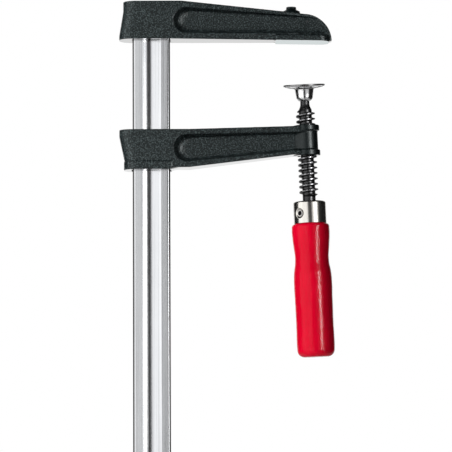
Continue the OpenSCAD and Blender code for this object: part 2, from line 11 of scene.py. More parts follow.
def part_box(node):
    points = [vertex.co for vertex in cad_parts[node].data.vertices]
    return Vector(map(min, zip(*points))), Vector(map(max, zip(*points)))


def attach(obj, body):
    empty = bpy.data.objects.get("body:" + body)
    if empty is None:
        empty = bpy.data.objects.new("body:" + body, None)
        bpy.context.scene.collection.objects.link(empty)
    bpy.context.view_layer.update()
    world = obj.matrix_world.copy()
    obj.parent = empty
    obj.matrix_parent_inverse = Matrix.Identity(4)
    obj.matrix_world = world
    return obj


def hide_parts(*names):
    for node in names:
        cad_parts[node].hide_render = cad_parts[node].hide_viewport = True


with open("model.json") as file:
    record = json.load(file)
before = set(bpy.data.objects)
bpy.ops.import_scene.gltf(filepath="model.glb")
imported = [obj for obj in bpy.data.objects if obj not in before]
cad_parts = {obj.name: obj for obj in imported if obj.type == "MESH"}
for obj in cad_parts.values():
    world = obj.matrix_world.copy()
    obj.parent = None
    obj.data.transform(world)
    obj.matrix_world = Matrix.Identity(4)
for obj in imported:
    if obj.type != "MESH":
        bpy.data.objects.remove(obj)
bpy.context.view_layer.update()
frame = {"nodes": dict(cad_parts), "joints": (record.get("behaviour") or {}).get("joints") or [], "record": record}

# Rail
# A cold-drawn flat steel bar with a hollow groove down both wide faces, sawn to length and
# bright zinc plated. The plating keeps the fine lengthwise lines of the drawing die.


class Wire:
    """A socket of a finish, with the operators that its masks are written in."""

    def __init__(self, socket):
        self.socket = socket
        self.tree = socket.id_data

    def node(self, kind, settings=None, inputs=None, out=0):
        """Any other node: its settings first, then its sockets' values or links."""
        new = self.tree.nodes.new(kind)
        for key, value in (settings or {}).items():
            setattr(new, key, value)
        for key, value in (inputs or {}).items():
            if isinstance(value, Wire):
                self.tree.links.new(value.socket, new.inputs[key])
            else:
                new.inputs[key].default_value = value
        return Wire(new.outputs[out])

    def math(self, operation, first, second):
        """A sum or a comparison of two numbers or wires."""
        return self.node("ShaderNodeMath", {"operation": operation}, {0: first, 1: second})

    def __add__(self, other):
        return self.math("ADD", self, other)

    def __radd__(self, other):
        return self.math("ADD", other, self)

    def __sub__(self, other):
        return self.math("SUBTRACT", self, other)

    def __rsub__(self, other):
        return self.math("SUBTRACT", other, self)

    def __mul__(self, other):
        return self.math("MULTIPLY", self, other)

    def __rmul__(self, other):
        return self.math("MULTIPLY", other, self)

    def __lt__(self, other):
        return self.math("LESS_THAN", self, other)

    def __gt__(self, other):
        return self.math("GREATER_THAN", self, other)

    def ramp(self, low, high):
        """0 below low, 1 above high, smooth between."""
        return self.node("ShaderNodeMapRange", {"interpolation_type": "SMOOTHSTEP", "clamp": True},
                         {"Value": self, "From Min": low, "From Max": high})

    def blend(self, first, second):
        """A colour from first, where this mask is 0, to second, where it is 1."""
        return self.node("ShaderNodeMix", {"data_type": "RGBA"}, {0: self, 6: first, 7: second}, 2)

    def grain(self, scale, detail=2.0, stretch=(1, 1, 1)):
        """Noise from 0 to 1; scale is in waves per millimetre, along stretched axes."""
        place = self.node("ShaderNodeVectorMath", {"operation": "MULTIPLY"},
                          {0: self, 1: tuple(1000 * s for s in stretch)})
        return self.node("ShaderNodeTexNoise", {}, {"Vector": place, "Scale": scale, "Detail": detail})

    def bump(self, depth_mm, normal=None):
        """A surface normal from this height, whose full range is depth_mm."""
        inputs = {"Height": self, "Strength": 1.0, "Distance": depth_mm / 1000}
        if normal:
            inputs["Normal"] = normal
        return self.node("ShaderNodeBump", {}, inputs)


class Finish:
    """One material: plain values on its shader, and a wire that carries the piece's own place."""

    def __init__(self, name, **plain):
        self.material = bpy.data.materials.new(name)
        self.material.use_nodes = True
        tree = self.material.node_tree
        self.shader = tree.nodes["Principled BSDF"]
        self.place = Wire(tree.nodes.new("ShaderNodeTexCoord").outputs["Object"])
        for key, value in plain.items():
            self.shader.inputs[key.replace("_", " ")].default_value = value

    def feed(self, **wires):
        """Links wires to the shader's sockets of the same names."""
        for key, wire in wires.items():
            target = self.shader.inputs[key.replace("_", " ")]
            self.material.node_tree.links.new(wire.socket, target)


def paint(obj, finish):
    """Gives a piece its finish."""
    obj.data.materials.clear()
    obj.data.materials.append(finish.material)


mm = 0.001
rail_low, rail_high = (Vector(c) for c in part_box("rail"))
rail_mid = (rail_low + rail_high) / 2
rail_half = (rail_high - rail_low) / 2
zinc_cool = (0.55, 0.56, 0.575, 1)
zinc_pale = (0.62, 0.63, 0.645, 1)
zinc_line = (0.46, 0.465, 0.48, 1)
# Colour of the thin dark line along the bar's edges
zinc_edge_dark = (0.13, 0.13, 0.13, 1)
zinc = Finish("zinc_plating", Metallic=1.0)
draw_lines = zinc.place.grain(0.8, 4.0, (1, 1, 0.006))
speckle = zinc.place.grain(2.4, 3.0, (1, 1, 0.35))
clouds = zinc.place.grain(0.05, 3.0)
lined = draw_lines.ramp(0.30, 0.52).blend(zinc_line, clouds.blend(zinc_cool, zinc_pale))
# The colour darkens to a thin line along each edge of the bar: where it starts and where
# it is full, in from the narrow side and in from the wide face
side_start, side_full = 1.35 * mm, 1.08 * mm
face_start, face_full = 1.755 * mm, 1.485 * mm
from_mid = zinc.place.node("ShaderNodeVectorMath", {"operation": "SUBTRACT"},
                           {0: zinc.place, 1: tuple(rail_mid)})
off_mid = from_mid.node("ShaderNodeVectorMath", {"operation": "ABSOLUTE"}, {0: from_mid})
over_width = off_mid.node("ShaderNodeSeparateXYZ", {}, {0: off_mid}, 0)
over_depth = off_mid.node("ShaderNodeSeparateXYZ", {}, {0: off_mid}, 1)
edge_darkening = (over_width.ramp(rail_half.x - side_start, rail_half.x - side_full)
        * over_depth.ramp(rail_half.y - face_start, rail_half.y - face_full))
zinc.feed(Base_Color=edge_darkening.blend(lined, zinc_edge_dark),
          Roughness=0.13 + 0.10 * draw_lines,
          Normal=speckle.bump(0.010, draw_lines.bump(0.018)))
rail = frame["nodes"]["rail"]
paint(rail, zinc)

# Stop pin
# A rolled spring pin driven through the rail near its lower end, so that the sliding arm
# can't run off. It is split along one side and chamfered at both ends.


def solid(name, verts, faces, sharp_deg=35):
    """A smooth-shaded object from points in metres, with its sharp edges kept."""
    mesh = bpy.data.meshes.new(name)
    mesh.from_pydata([tuple(v) for v in verts], [], faces)
    mesh.validate()
    work = bmesh.new()
    work.from_mesh(mesh)
    bmesh.ops.remove_doubles(work, verts=work.verts, dist=1e-7)
    bmesh.ops.dissolve_degenerate(work, edges=work.edges, dist=1e-8)
    bmesh.ops.recalc_face_normals(work, faces=work.faces)
    work.to_mesh(mesh)
    work.free()
    mesh.shade_smooth()
    mesh.set_sharp_from_angle(angle=math.radians(sharp_deg))
    obj = bpy.data.objects.new(name, mesh)
    bpy.context.scene.collection.objects.link(obj)
    return obj


def rounded(corners, steps=6):
    """Points of an outline whose corners (x, y, radius) are filleted with arcs."""
    points = []
    for i, (x, y, radius) in enumerate(corners):
        here = Vector((x, y))
        if radius <= 0 or i in (0, len(corners) - 1):
            points.append((x, y))
            continue
        back = (Vector(corners[i - 1][:2]) - here).normalized()
        ahead = (Vector(corners[i + 1][:2]) - here).normalized()
        half = back.angle(ahead) / 2
        run = radius / math.tan(half)
        centre = here + (back + ahead).normalized() * (radius / math.sin(half))
        start = here + back * run - centre
        turn = start.angle_signed(here + ahead * run - centre)
        for k in range(steps + 1):
            arm = start.copy()
            arm.rotate(Matrix.Rotation(-turn * k / steps, 2))
            points.append(tuple(centre + arm))
    return points


def pose_along(origin, axis, across):
    """A frame at origin with z along axis and x as near to across as it can be."""
    z = Vector(axis).normalized()
    x = (Vector(across) - z * z.dot(Vector(across))).normalized()
    y = z.cross(x)
    rows = [[x[i], y[i], z[i], origin[i]] for i in range(3)]
    return Matrix(rows + [[0, 0, 0, 1]])


steel_dark = (0.42, 0.42, 0.43, 1)
steel_light = (0.62, 0.61, 0.60, 1)
steel = Finish("bare_steel", Metallic=1.0)
steel_grain = steel.place.grain(1.2, 3.0)
steel.feed(Base_Color=steel_grain.blend(steel_dark, steel_light),
           Roughness=0.28 + 0.2 * steel_grain,
           Normal=steel_grain.bump(0.01))

pin_low, pin_high = (Vector(c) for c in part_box("stop_pin"))
pin_mid = (pin_low + pin_high) / 2
pin_r = (pin_high.x - pin_low.x) / 2
pin_half = (pin_high.y - pin_low.y) / 2
pin_bore = 0.55 * pin_r
pin_chamfer = 0.6 * mm
slit_deg = 24
pin_steps = 48
pin_ring = [(pin_bore, pin_half), (pin_r - pin_chamfer, pin_half), (pin_r, pin_half - pin_chamfer),
            (pin_r, pin_chamfer - pin_half), (pin_r - pin_chamfer, -pin_half), (pin_bore, -pin_half)]
pin_verts = []
pin_faces = []
ring_n = len(pin_ring)
for i in range(pin_steps + 1):
    a = math.radians(slit_deg / 2 + (360 - slit_deg) * i / pin_steps)
    pin_verts += [pin_mid + Vector((r * math.cos(a), y, r * math.sin(a))) for r, y in pin_ring]
for i in range(pin_steps):
    for k in range(ring_n):
        a, b = ring_n * i + k, ring_n * i + (k + 1) % ring_n
        pin_faces.append((a, b, b + ring_n, a + ring_n))
pin_faces.append(tuple(range(ring_n)))
pin_faces.append(tuple(ring_n * pin_steps + k for k in reversed(range(ring_n))))
stop_pin = solid("spring_stop_pin", pin_verts, pin_faces)
paint(stop_pin, steel)
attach(stop_pin, "frame")
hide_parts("stop_pin")

# Fixed arm
# A sand casting in malleable iron: head, ribbed arm, nub and jaw pad in one. It is dipped in
# black lacquer after casting, and then the jaw's face is ground bare.


def fill_corners(mesh, inside, rounds):
    """Lays a fillet into the inner corners of one region; outer edges stay as they are."""
    ease = 0.7
    rounds_per_normal = 20
    points = np.empty(len(mesh.vertices) * 3)
    mesh.vertices.foreach_get("co", points)
    points = points.reshape(-1, 3)
    normals = np.empty(points.size)
    mesh.vertex_normals.foreach_get("vector", normals)
    free = inside(points, normals.reshape(-1, 3))
    ends = np.empty(len(mesh.edges) * 2, np.int32)
    mesh.edges.foreach_get("vertices", ends)
    ends = ends.reshape(-1, 2)
    ends = np.concatenate([ends[free[ends[:, 0]]], ends[free[ends[:, 1]]][:, ::-1]])
    used, short = np.unique(ends[:, 0], return_inverse=True)
    shares = np.bincount(short)[:, None]
    for step in range(rounds):
        if step % rounds_per_normal == 0:
            mesh.vertices.foreach_set("co", points.ravel())
            mesh.update()
            mesh.vertex_normals.foreach_get("vector", normals)
            out = normals.reshape(-1, 3)[used]
        sums = np.stack([np.bincount(short, points[ends[:, 1], k]) for k in range(3)], 1)
        lift = ((sums / shares - points[used]) * out).sum(1)
        points[used] += out * (ease * np.maximum(lift, 0))[:, None]
    mesh.vertices.foreach_set("co", points.ravel())
    mesh.update()


def cast_skin(node, name, voxel, rounds, hollow, keep=None):
    """The node's solid with the soft edges and fillets of a sand casting."""
    mesh = frame["nodes"][node].data.copy()
    obj = bpy.data.objects.new(name, mesh)
    bpy.context.scene.collection.objects.link(obj)
    skin = obj.modifiers.new("skin", "REMESH")
    skin.mode = "VOXEL"
    skin.voxel_size = voxel
    made = bpy.data.meshes.new_from_object(obj.evaluated_get(bpy.context.evaluated_depsgraph_get()))
    obj.modifiers.clear()
    obj.data = made
    if keep:
        group = obj.vertex_groups.new(name="soft")
        for v in made.vertices:
            group.add([v.index], 0.0 if keep(v.co) else 1.0, "REPLACE")
    soft = obj.modifiers.new("soft", "SMOOTH")
    soft.factor = 0.5
    soft.iterations = rounds
    if keep:
        soft.vertex_group = "soft"
    done = bpy.data.meshes.new_from_object(obj.evaluated_get(bpy.context.evaluated_depsgraph_get()))
    obj.modifiers.clear()
    obj.vertex_groups.clear()
    obj.data = done
    for inside, fillet_rounds in hollow:
        fill_corners(done, inside, fillet_rounds)
    done.shade_smooth()
    return obj


def mount(name):
    """Place and outward axis of a mount in the record."""
    found = next(m for m in frame["record"]["mounts"] if m["name"] == name)
    return Vector(found["pos_m"]), Vector(found["axis"]).normalized()


jaw_at, jaw_out = mount("fixed_jaw_face")
voxel = 0.36 * mm
ground = 0.32 * mm
soft_rounds = 6
foot_rounds = 45
end_rounds = 160
# How far off the casting's mid-plane the web's foot lies, and how far from the rail a pocket
# starts and its round end reaches
foot_from, foot_to, end_to = 3.5 * mm, 7 * mm, 6.4 * mm
web_start, end_start, end_stop = (rail_high.x + run for run in (1.5 * mm, 3 * mm, 13 * mm))


def beside_the_web(points, out):
    """The corners at the web's foot."""
    side = np.abs(points[:, 1])
    return (points[:, 0] > web_start) & (side > foot_from) & (side < foot_to)


def round_end(points, out):
    """The foot of the pocket's round end, which runs out wide on to the web."""
    side = np.abs(points[:, 1])
    near = (points[:, 0] > end_start) & (points[:, 0] < end_stop)
    return near & (side > foot_from) & (side < end_to)


fixed_arm = cast_skin("fixed_arm", "fixed_arm_casting", voxel, soft_rounds,
                      [(beside_the_web, foot_rounds), (round_end, end_rounds)])
pad_from = -19.5 * mm
for v in fixed_arm.data.vertices:
    height = (jaw_at - v.co).dot(jaw_out)
    if height < ground and v.co.x > pad_from:
        v.co += jaw_out * height

turn_joint = next(j for j in frame["joints"] if j["name"] == "spindle_turn")
spindle_up = Vector(turn_joint["axis"]).normalized()
ball_at = Vector(turn_joint["pos_m"])
lacquer_deep = (0.002, 0.0045, 0.0048, 1)
lacquer_speck = (0.060, 0.079, 0.081, 1)
ground_iron = (0.47, 0.465, 0.47, 1)
lacquer = Finish("black_lacquer_on_sand_casting", Specular_IOR_Level=0.34, Coat_Roughness=0.05,
                 Specular_Tint=(0.93, 1, 1, 1))
sand = lacquer.place.grain(1.1, 3.0)
peel = lacquer.place.grain(0.35, 2.0)
pits = lacquer.place.grain(0.12, 4.0)
jaw_height = lacquer.place.node("ShaderNodeVectorMath", {"operation": "DOT_PRODUCT"},
                                {0: lacquer.place, 1: tuple(-jaw_out)}, 1)
along_arm = lacquer.place.node("ShaderNodeSeparateXYZ", {}, {0: lacquer.place})
face_play = 0.1 * mm
pad_edge = pad_from - 0.5 * mm
bare = (jaw_height < face_play) * (jaw_height > -face_play) * (along_arm > pad_edge)
lines = lacquer.place.grain(2.2, 2.0, (0.03, 1, 1))
# The lacquer runs down and sets thick and smooth on the undersides
facing = Wire(lacquer.place.socket.node.outputs["Normal"])
faces_down = -0.85
under = facing.node("ShaderNodeSeparateXYZ", {}, {0: facing}, 2) < faces_down
# The boss is turned and the nub is ground before the dip, so the sand's grain is gone there
dressed_r = 10.4 * mm
boss_top, nub_foot = -30 * mm, 21.4 * mm
from_ball = facing.node("ShaderNodeVectorMath", {"operation": "SUBTRACT"},
                        {0: lacquer.place, 1: tuple(ball_at)})
from_axis = from_ball.node("ShaderNodeVectorMath", {"operation": "CROSS_PRODUCT"},
                           {0: from_ball, 1: tuple(spindle_up)})
off_axis = from_axis.node("ShaderNodeVectorMath", {"operation": "LENGTH"}, {0: from_axis}, 1)
dressed = (off_axis < dressed_r) * ((jaw_height < boss_top) + (jaw_height > nub_foot))
rough = (1 - under) * (1 - 0.85 * dressed)
specks = sand.ramp(0.48, 0.64) * rough
lacquer.feed(Base_Color=bare.blend(specks.blend(lacquer_deep, lacquer_speck), ground_iron),
             Metallic=bare,
             Coat_Weight=under * (1 - bare),
             Roughness=(0.24 + 0.16 * pits - under * (0.20 + 0.10 * pits) + 0.03 * dressed
                        + bare * (0.10 * lines - 0.05)),
             Normal=(sand * rough).bump(0.24, (peel * rough).bump(0.22)))
paint(fixed_arm, lacquer)
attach(fixed_arm, "frame")
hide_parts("fixed_arm")

# Head key
# A flat steel taper key, driven down between the head and the rail's outer edge, so that the
# fixed arm can't shift. Only its struck end shows, on top of the head.
head_key = frame["nodes"]["head_key"]
paint(head_key, steel)

# Sliding arm
# The same kind of casting, with a rectangular slot that runs free on the rail and a boss that
# is tapped for the spindle. It tips under load and locks on the rail's edges.
bore_guard = 7.9 * mm
boss_rounds = 80
lip_rounds = 500
# Where the boss's foot starts on the web and where the web ends in it
boss_start, boss_stop = -12 * mm, -1 * mm
level_from = 0.35


def in_the_bore(point):
    """The tapped hole, whose thread is left as it was cut."""
    along = (point - ball_at).dot(spindle_up)
    return (point - ball_at - spindle_up * along).length < bore_guard


def beside_the_sliding_web(points, out):
    """The corners at this web's foot, as far as the boss."""
    return beside_the_web(points, out) & (points[:, 0] < boss_stop)


def boss_foot(points, out):
    """The foot of the boss on the web."""
    side = np.abs(points[:, 1])
    near = (points[:, 0] > boss_start) & (points[:, 0] < boss_stop) & (out[:, 2] < level_from)
    return near & (side > foot_from) & (side < end_to)


lip_low, lip_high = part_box("sliding_arm")
lip_skin, lip_deep = 0.8 * mm, 2.6 * mm
lip_start, lip_stop = 0.5 * mm, 12 * mm


def lip_end(points, out):
    """The end of the lip round the slot's lower edge, which runs out in a ramp."""
    along = points[:, 0] - rail_high.x
    outer = (np.abs(points[:, 1]) > lip_high[1] - lip_skin) | (points[:, 2] < lip_low[2] + lip_deep)
    return (along > lip_start) & (along < lip_stop) & outer


sliding_arm = cast_skin("sliding_arm", "sliding_arm_casting", voxel, soft_rounds,
                        [(beside_the_sliding_web, foot_rounds), (round_end, end_rounds),
                         (boss_foot, boss_rounds), (lip_end, lip_rounds)], in_the_bore)
paint(sliding_arm, lacquer)
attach(sliding_arm, "arm")
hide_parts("sliding_arm")

# Spindle
# A steel screw with a rolled trapezoidal thread, blackened and oiled. Its upper end is turned
# to a neck and a ball head, and its plain tang is held in the handle by the cross pin.
plate_at, plate_out = mount("plate_face")
ball_depth = (plate_at - ball_at).length
spindle_frame = pose_along(ball_at + spindle_up * ball_depth, spindle_up, (1, 0, 0))


def turned(node, place):
    """How far a turned solid reaches along its axis, in mm: lower end, upper end and radius."""
    points = [place.inverted() @ v.co / mm for v in frame["nodes"][node].data.vertices]
    along = [p.z for p in points]
    return min(along), max(along), max(math.hypot(p.x, p.y) for p in points)


tang_low, head_flat, thread_r = turned("spindle", spindle_frame)
ferrule_low, ferrule_top, ferrule_r = turned("ferrule", spindle_frame)
thread_depth = 2.25
core_r = thread_r - thread_depth
tang_r = core_r - 0.15
tang_chamfer = 0.8
tang_step = 0.2
pitch = 4.0
crest_share = 0.366
flank_deg = 15
thread_steps = 72
ball_z = -ball_depth / mm
head_r = 4.7
neck_r = 3.35
thread_gap = 0.3
thread_off = 3.2
fade_l = 2.2
thread_high = -18.6
flare_l = 4.2
thread_low = ferrule_top + thread_gap
seat_r = 2.83
# The ridge across one pitch: (share of the pitch, share of the height), with eased corners
ridge = [(0.0, 0.0), (0.20, 0.0), (0.225, 0.03), (0.38, 0.93), (0.40, 1.0), (0.5, 1.0),
         (0.60, 1.0), (0.62, 0.93), (0.775, 0.03), (0.80, 0.0)]
# The height at which the ridge's middle starts, in step with the boss's tapped groove
ridge_half = crest_share * pitch / 2 + thread_depth * math.tan(math.radians(flank_deg))
ridge_phase = thread_low + ridge_half + thread_off


def lathe(profile, steps, place, close=True):
    """A turned piece: profile points (radius, height) in mm, about the z axis of place."""
    verts = []
    for r, z in profile:
        for j in range(steps):
            a = 2 * math.pi * j / steps
            verts.append(place @ Vector((r * math.cos(a) * mm, r * math.sin(a) * mm, z * mm)))
    rows = len(profile)
    faces = []
    for i in range(rows if close else rows - 1):
        for j in range(steps):
            k = (j + 1) % steps
            n = (i + 1) % rows
            faces.append((i * steps + j, i * steps + k, n * steps + k, n * steps + j))
    return verts, faces


def arc(centre_r, centre_z, radius, start_deg, end_deg, steps=12):
    """Points on an arc in a turned profile; 0 degrees points away from the axis, 90 up."""
    angles = [math.radians(start_deg + (end_deg - start_deg) * i / steps) for i in range(steps + 1)]
    return [(centre_r + radius * math.cos(a), centre_z + radius * math.sin(a)) for a in angles]


neck_deg = math.degrees(math.acos(neck_r / head_r))
flat_deg = math.degrees(math.asin((head_flat - ball_z) / head_r))
nose = arc(0, ball_z, seat_r, -90, math.degrees(math.asin((head_flat - ball_z) / seat_r)), 10)
nose += arc(0, ball_z, head_r, flat_deg, -neck_deg, 14)
flare_rows = 8
nose += [(neck_r + (core_r - neck_r) * (1 - math.cos(math.pi / 2 * t / flare_rows)),
          thread_high + flare_l * (1 - t / flare_rows)) for t in range(flare_rows + 1)]
rows_per_turn = len(ridge)
turns = int((thread_high - thread_low) / pitch) + 3
spin_verts, spin_faces = lathe(nose, thread_steps, spindle_frame, False)
base = len(spin_verts)
row_count = rows_per_turn * (turns + 1)
for i in range(row_count):
    share, height = ridge[i % rows_per_turn]
    for j in range(thread_steps):
        z = ridge_phase + pitch * (i // rows_per_turn - 2 + share - 0.5 + j / thread_steps)
        z = min(max(z, thread_low), thread_high)
        fade = min(1, (thread_high - z) / fade_l, (z - thread_low - thread_off) / fade_l)
        r = core_r + (thread_r - core_r) * height * max(fade, 0)
        a = 2 * math.pi * j / thread_steps
        spin_verts.append(spindle_frame @ Vector((r * math.cos(a) * mm, r * math.sin(a) * mm, z * mm)))
for i in range(row_count - 1):
    for j in range(thread_steps):
        k = (j + 1) % thread_steps
        up = rows_per_turn if k == 0 else 0
        if i + 1 + up < row_count:
            at = base + i * thread_steps
            over = base + (i + up) * thread_steps
            spin_faces.append((at + j, over + k, over + thread_steps + k, at + thread_steps + j))
tang = [(core_r, thread_low), (tang_r, thread_low - tang_step), (tang_r, tang_low + tang_chamfer),
        (tang_r - tang_chamfer, tang_low), (0.0, tang_low)]
tang_verts, tang_faces = lathe(tang, thread_steps, spindle_frame, False)
base = len(spin_verts)
spin_verts += tang_verts
spin_faces += [tuple(base + i for i in f) for f in tang_faces]
spindle = solid("screw_spindle", spin_verts, spin_faces, 40)

oil_black = (0.044, 0.044, 0.045, 1)
rubbed = (0.30, 0.30, 0.31, 1)
worn_from, worn_full = 6.5 * mm, 6.95 * mm
blackened = Finish("blackened_screw_steel", Metallic=0.9)
along = blackened.place.node("ShaderNodeVectorMath", {"operation": "SUBTRACT"},
                             {0: blackened.place, 1: tuple(ball_at)})
away = along.node("ShaderNodeVectorMath", {"operation": "CROSS_PRODUCT"}, {0: along, 1: tuple(spindle_up)})
radius = away.node("ShaderNodeVectorMath", {"operation": "LENGTH"}, {0: away}, 1)
rub = blackened.place.grain(0.9, 3.0)
worn = radius.ramp(worn_from, worn_full) * rub.ramp(0.35, 0.65)
blackened.feed(Base_Color=worn.blend(oil_black, rubbed),
               Roughness=0.24 + 0.16 * rub,
               Normal=rub.bump(0.02))
paint(spindle, blackened)
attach(spindle, "screw")
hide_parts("spindle")

# Thrust ball
# A hardened bearing ball in the end of the ball head, which takes the clamping force into the
# plate. It is out of sight inside the cup.
thrust_ball = frame["nodes"]["thrust_ball"]
paint(thrust_ball, steel)

# Pressure plate
# A pressed and turned steel plate with a cup under it. The cup's mouth is rolled in behind the
# spindle's ball head, so that the plate tilts freely but stays on. It is zinc plated.
plate_frame = pose_along(plate_at, plate_out, (1, 0, 0))
cup_low, plate_face, plate_r = turned("pressure_plate", plate_frame)
rim_t = 1.0
dish = 2.9
cup_r = 6.65
mouth_r = 4.3
socket_r = 4.95
ceiling_rise = 1.9
ceiling = ball_z + ceiling_rise
socket_deg = math.degrees(math.asin(ceiling_rise / socket_r))
mouth_deg = math.degrees(math.acos(mouth_r / socket_r))
# The cup narrows and then turns in to its rolled edge, which ends at the mouth
roll_r = 4.2
cup_taper = 0.5
roll_at = cup_r - cup_taper - roll_r
roll_z = cup_low + math.sqrt(roll_r**2 - (mouth_r - roll_at) ** 2)
roll_deg = math.degrees(math.acos((mouth_r + 0.1 - roll_at) / roll_r))
cup_side = [(r, z, 0) for r, z in arc(roll_at, roll_z, roll_r, 0, -roll_deg, 10)]
plate_corners = [(0, plate_face, 0), (plate_r, plate_face, 0.15), (plate_r, -rim_t, 0.2),
                 (plate_r - 1.7, -1.75, 1.2), (plate_r - 4.6, -2.45, 2.5), (cup_r + 0.4, -dish, 1.2)]
plate_outline = rounded(plate_corners + cup_side + [(mouth_r, cup_low + 0.3, 0)])
plate_outline += arc(0, ball_z, socket_r, -mouth_deg, socket_deg, 10)
plate_outline += [(seat_r, ceiling), (0, ball_z + seat_r)]
plate_steps = 96
plate_verts, plate_faces = lathe(plate_outline, plate_steps, plate_frame, False)
plate = solid("swivel_plate", plate_verts, plate_faces)
plate_cool = (0.76, 0.765, 0.775, 1)
plate_pale = (0.86, 0.865, 0.87, 1)
# Colour of the painted shade on the rim and in the corner over the cup
plate_shade_dark = (0.035, 0.033, 0.030, 1)
plated = Finish("plated_plate", Metallic=1.0)
turning = plated.place.grain(1.0, 2.0, (1, 1, 4))
from_face = plated.place.node("ShaderNodeVectorMath", {"operation": "SUBTRACT"},
                              {0: plated.place, 1: tuple(plate_at)})
depth = from_face.node("ShaderNodeVectorMath", {"operation": "DOT_PRODUCT"},
                       {0: from_face, 1: tuple(-plate_out)}, 1)
across_face = from_face.node("ShaderNodeVectorMath", {"operation": "CROSS_PRODUCT"},
                             {0: from_face, 1: tuple(plate_out)})
out_by = across_face.node("ShaderNodeVectorMath", {"operation": "LENGTH"}, {0: across_face}, 1)
# The sheared rim is rougher, and painted shade darkens it to a thin line; more painted shade
# darkens the corner under the plate, over the cup
rim_from, rim_full = (plate_r - 0.20) * mm, (plate_r - 0.05) * mm
shade_start, shade_full, shade_thin, shade_stop = 2.5 * mm, 2.8 * mm, 3.1 * mm, 3.5 * mm
rim = out_by.ramp(rim_from, rim_full)
corner = depth.ramp(shade_start, shade_full) * (1 - depth.ramp(shade_thin, shade_stop))
painted_shade = rim.math("MAXIMUM", rim * 0.75, corner * 0.9)
plated.feed(Base_Color=painted_shade.blend(turning.blend(plate_cool, plate_pale), plate_shade_dark),
            Roughness=0.10 + 0.10 * turning + 0.15 * rim,
            Normal=turning.bump(0.010))
paint(plate, plated)
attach(plate, "plate")
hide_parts("pressure_plate")

# Ferrule
# A drawn steel cup, bright and slightly warm in colour, pressed over the handle's tenon. The
# wall is dimpled where the cross pin is set.
ferrule_wall = 1.4
pin_drop = 9.0
pin_z = ferrule_top - pin_drop
pin_turn = math.radians(42)
dimple_r = 4.0
dimple_depth = 0.95
pin_face_r = 2.15
pit_r = 1.9
pit_depth = 4.0
ferrule_in = ferrule_r - ferrule_wall
ferrule_edge_r = 1.5
hole_r = tang_r + 0.1
# The wall is divided finely, so that the dimples can be pressed into it
wall_rows = 56
wall_low, wall_high = ferrule_low + 0.4, ferrule_top - 1.6
wall_z = [wall_low + (wall_high - wall_low) * i / wall_rows for i in range(wall_rows + 1)]
ferrule_outline = rounded([(hole_r, ferrule_top, 0), (ferrule_r, ferrule_top, ferrule_edge_r),
                           (ferrule_r, wall_high, 0)], 8)
ferrule_outline += [(ferrule_r, z) for z in reversed(wall_z[:-1])]
ferrule_outline += [(ferrule_r - 0.3, ferrule_low), (ferrule_in, ferrule_low)]
ferrule_outline += [(ferrule_in, z) for z in wall_z]
ferrule_outline += [(hole_r, ferrule_top - ferrule_wall)]
ferrule_steps = 288
ferrule_verts, ferrule_faces = lathe(ferrule_outline, ferrule_steps, Matrix.Identity(4))
pin_dir = Vector((-math.sin(pin_turn), -math.cos(pin_turn), 0))


def dimpled(v):
    """The wall pressed in round both ends of the pin, as a soft cone, and open inside the pin."""
    side = v.x * pin_dir.x + v.y * pin_dir.y
    r = math.hypot(v.x, v.y)
    if r < (ferrule_in - 0.2) * mm or abs(side) < 0.5 * r:
        return v
    across = math.hypot(-v.x * pin_dir.y + v.y * pin_dir.x, v.z - pin_z * mm) / mm
    if across >= dimple_r:
        return v
    t = min(1, (dimple_r - across) / (dimple_r - pin_face_r))
    press = (dimple_depth * (t * t * (3 - 2 * t)) + (pit_depth if across < pit_r else 0)) * mm
    return v - Vector((v.x, v.y, 0)) / r * press


ferrule = solid("drawn_ferrule", [spindle_frame @ dimpled(v) for v in ferrule_verts], ferrule_faces)
warm_dark = (0.56, 0.54, 0.50, 1)
warm_light = (0.68, 0.66, 0.62, 1)
bright = Finish("bright_drawn_ferrule", Metallic=1.0)
drawn = bright.place.grain(0.9, 3.0, (1, 1, 0.05))
bright.feed(Base_Color=drawn.blend(warm_dark, warm_light),
            Roughness=0.15 + 0.10 * drawn,
            Normal=drawn.bump(0.012))
paint(ferrule, bright)
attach(ferrule, "screw")
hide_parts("ferrule")

# Cross pin
# A tubular steel pin through the ferrule, the tenon and the spindle's tang, with its ends
# rolled over in the dimples. Its bore is shallow, and painted black as painted shade.
pin_frame = spindle_frame @ pose_along(Vector((0, 0, pin_z)) * mm, pin_dir, (0, 0, 1))
pin_end = ferrule_r - 0.62
pin_hole = 1.6
# How deep the bore's floor lies, which is painted black as painted shade
bore_floor_depth = 0.75
cross_steps = 64
tube = rounded([(0, pin_end - bore_floor_depth, 0), (pin_hole, pin_end - bore_floor_depth, 0.1), (pin_hole, pin_end, 0.1),
                (pin_face_r, pin_end, 0.15), (pin_face_r, 0, 0)], 5)
tube += [(r, -z) for r, z in reversed(tube[:-1])]
cross_verts, cross_faces = lathe(tube, cross_steps, pin_frame, False)
cross_pin = solid("tubular_cross_pin", cross_verts, cross_faces)
# Painted shade in the pin's bore
bore_shade_black = (0.008, 0.008, 0.008, 1)
pin_grey = (0.60, 0.59, 0.58, 1)
pin_metal = Finish("cross_pin_steel", Metallic=1.0)
from_pin = pin_metal.place.node("ShaderNodeVectorMath", {"operation": "SUBTRACT"},
                                {0: pin_metal.place, 1: tuple(pin_frame.translation)})
off_pin = from_pin.node("ShaderNodeVectorMath", {"operation": "CROSS_PRODUCT"},
                        {0: from_pin, 1: tuple(pin_frame.col[2][:3])})
from_centre = off_pin.node("ShaderNodeVectorMath", {"operation": "LENGTH"}, {0: off_pin}, 1)
grey_from, grey_full = (pin_hole + 0.02) * mm, (pin_hole + 0.2) * mm
pin_metal.feed(Base_Color=from_centre.ramp(grey_from, grey_full).blend(bore_shade_black, pin_grey),
               Roughness=0.30 + 0.2 * pin_metal.place.grain(1.2, 3.0))
paint(cross_pin, pin_metal)
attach(cross_pin, "screw")
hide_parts("ferrule_pin")

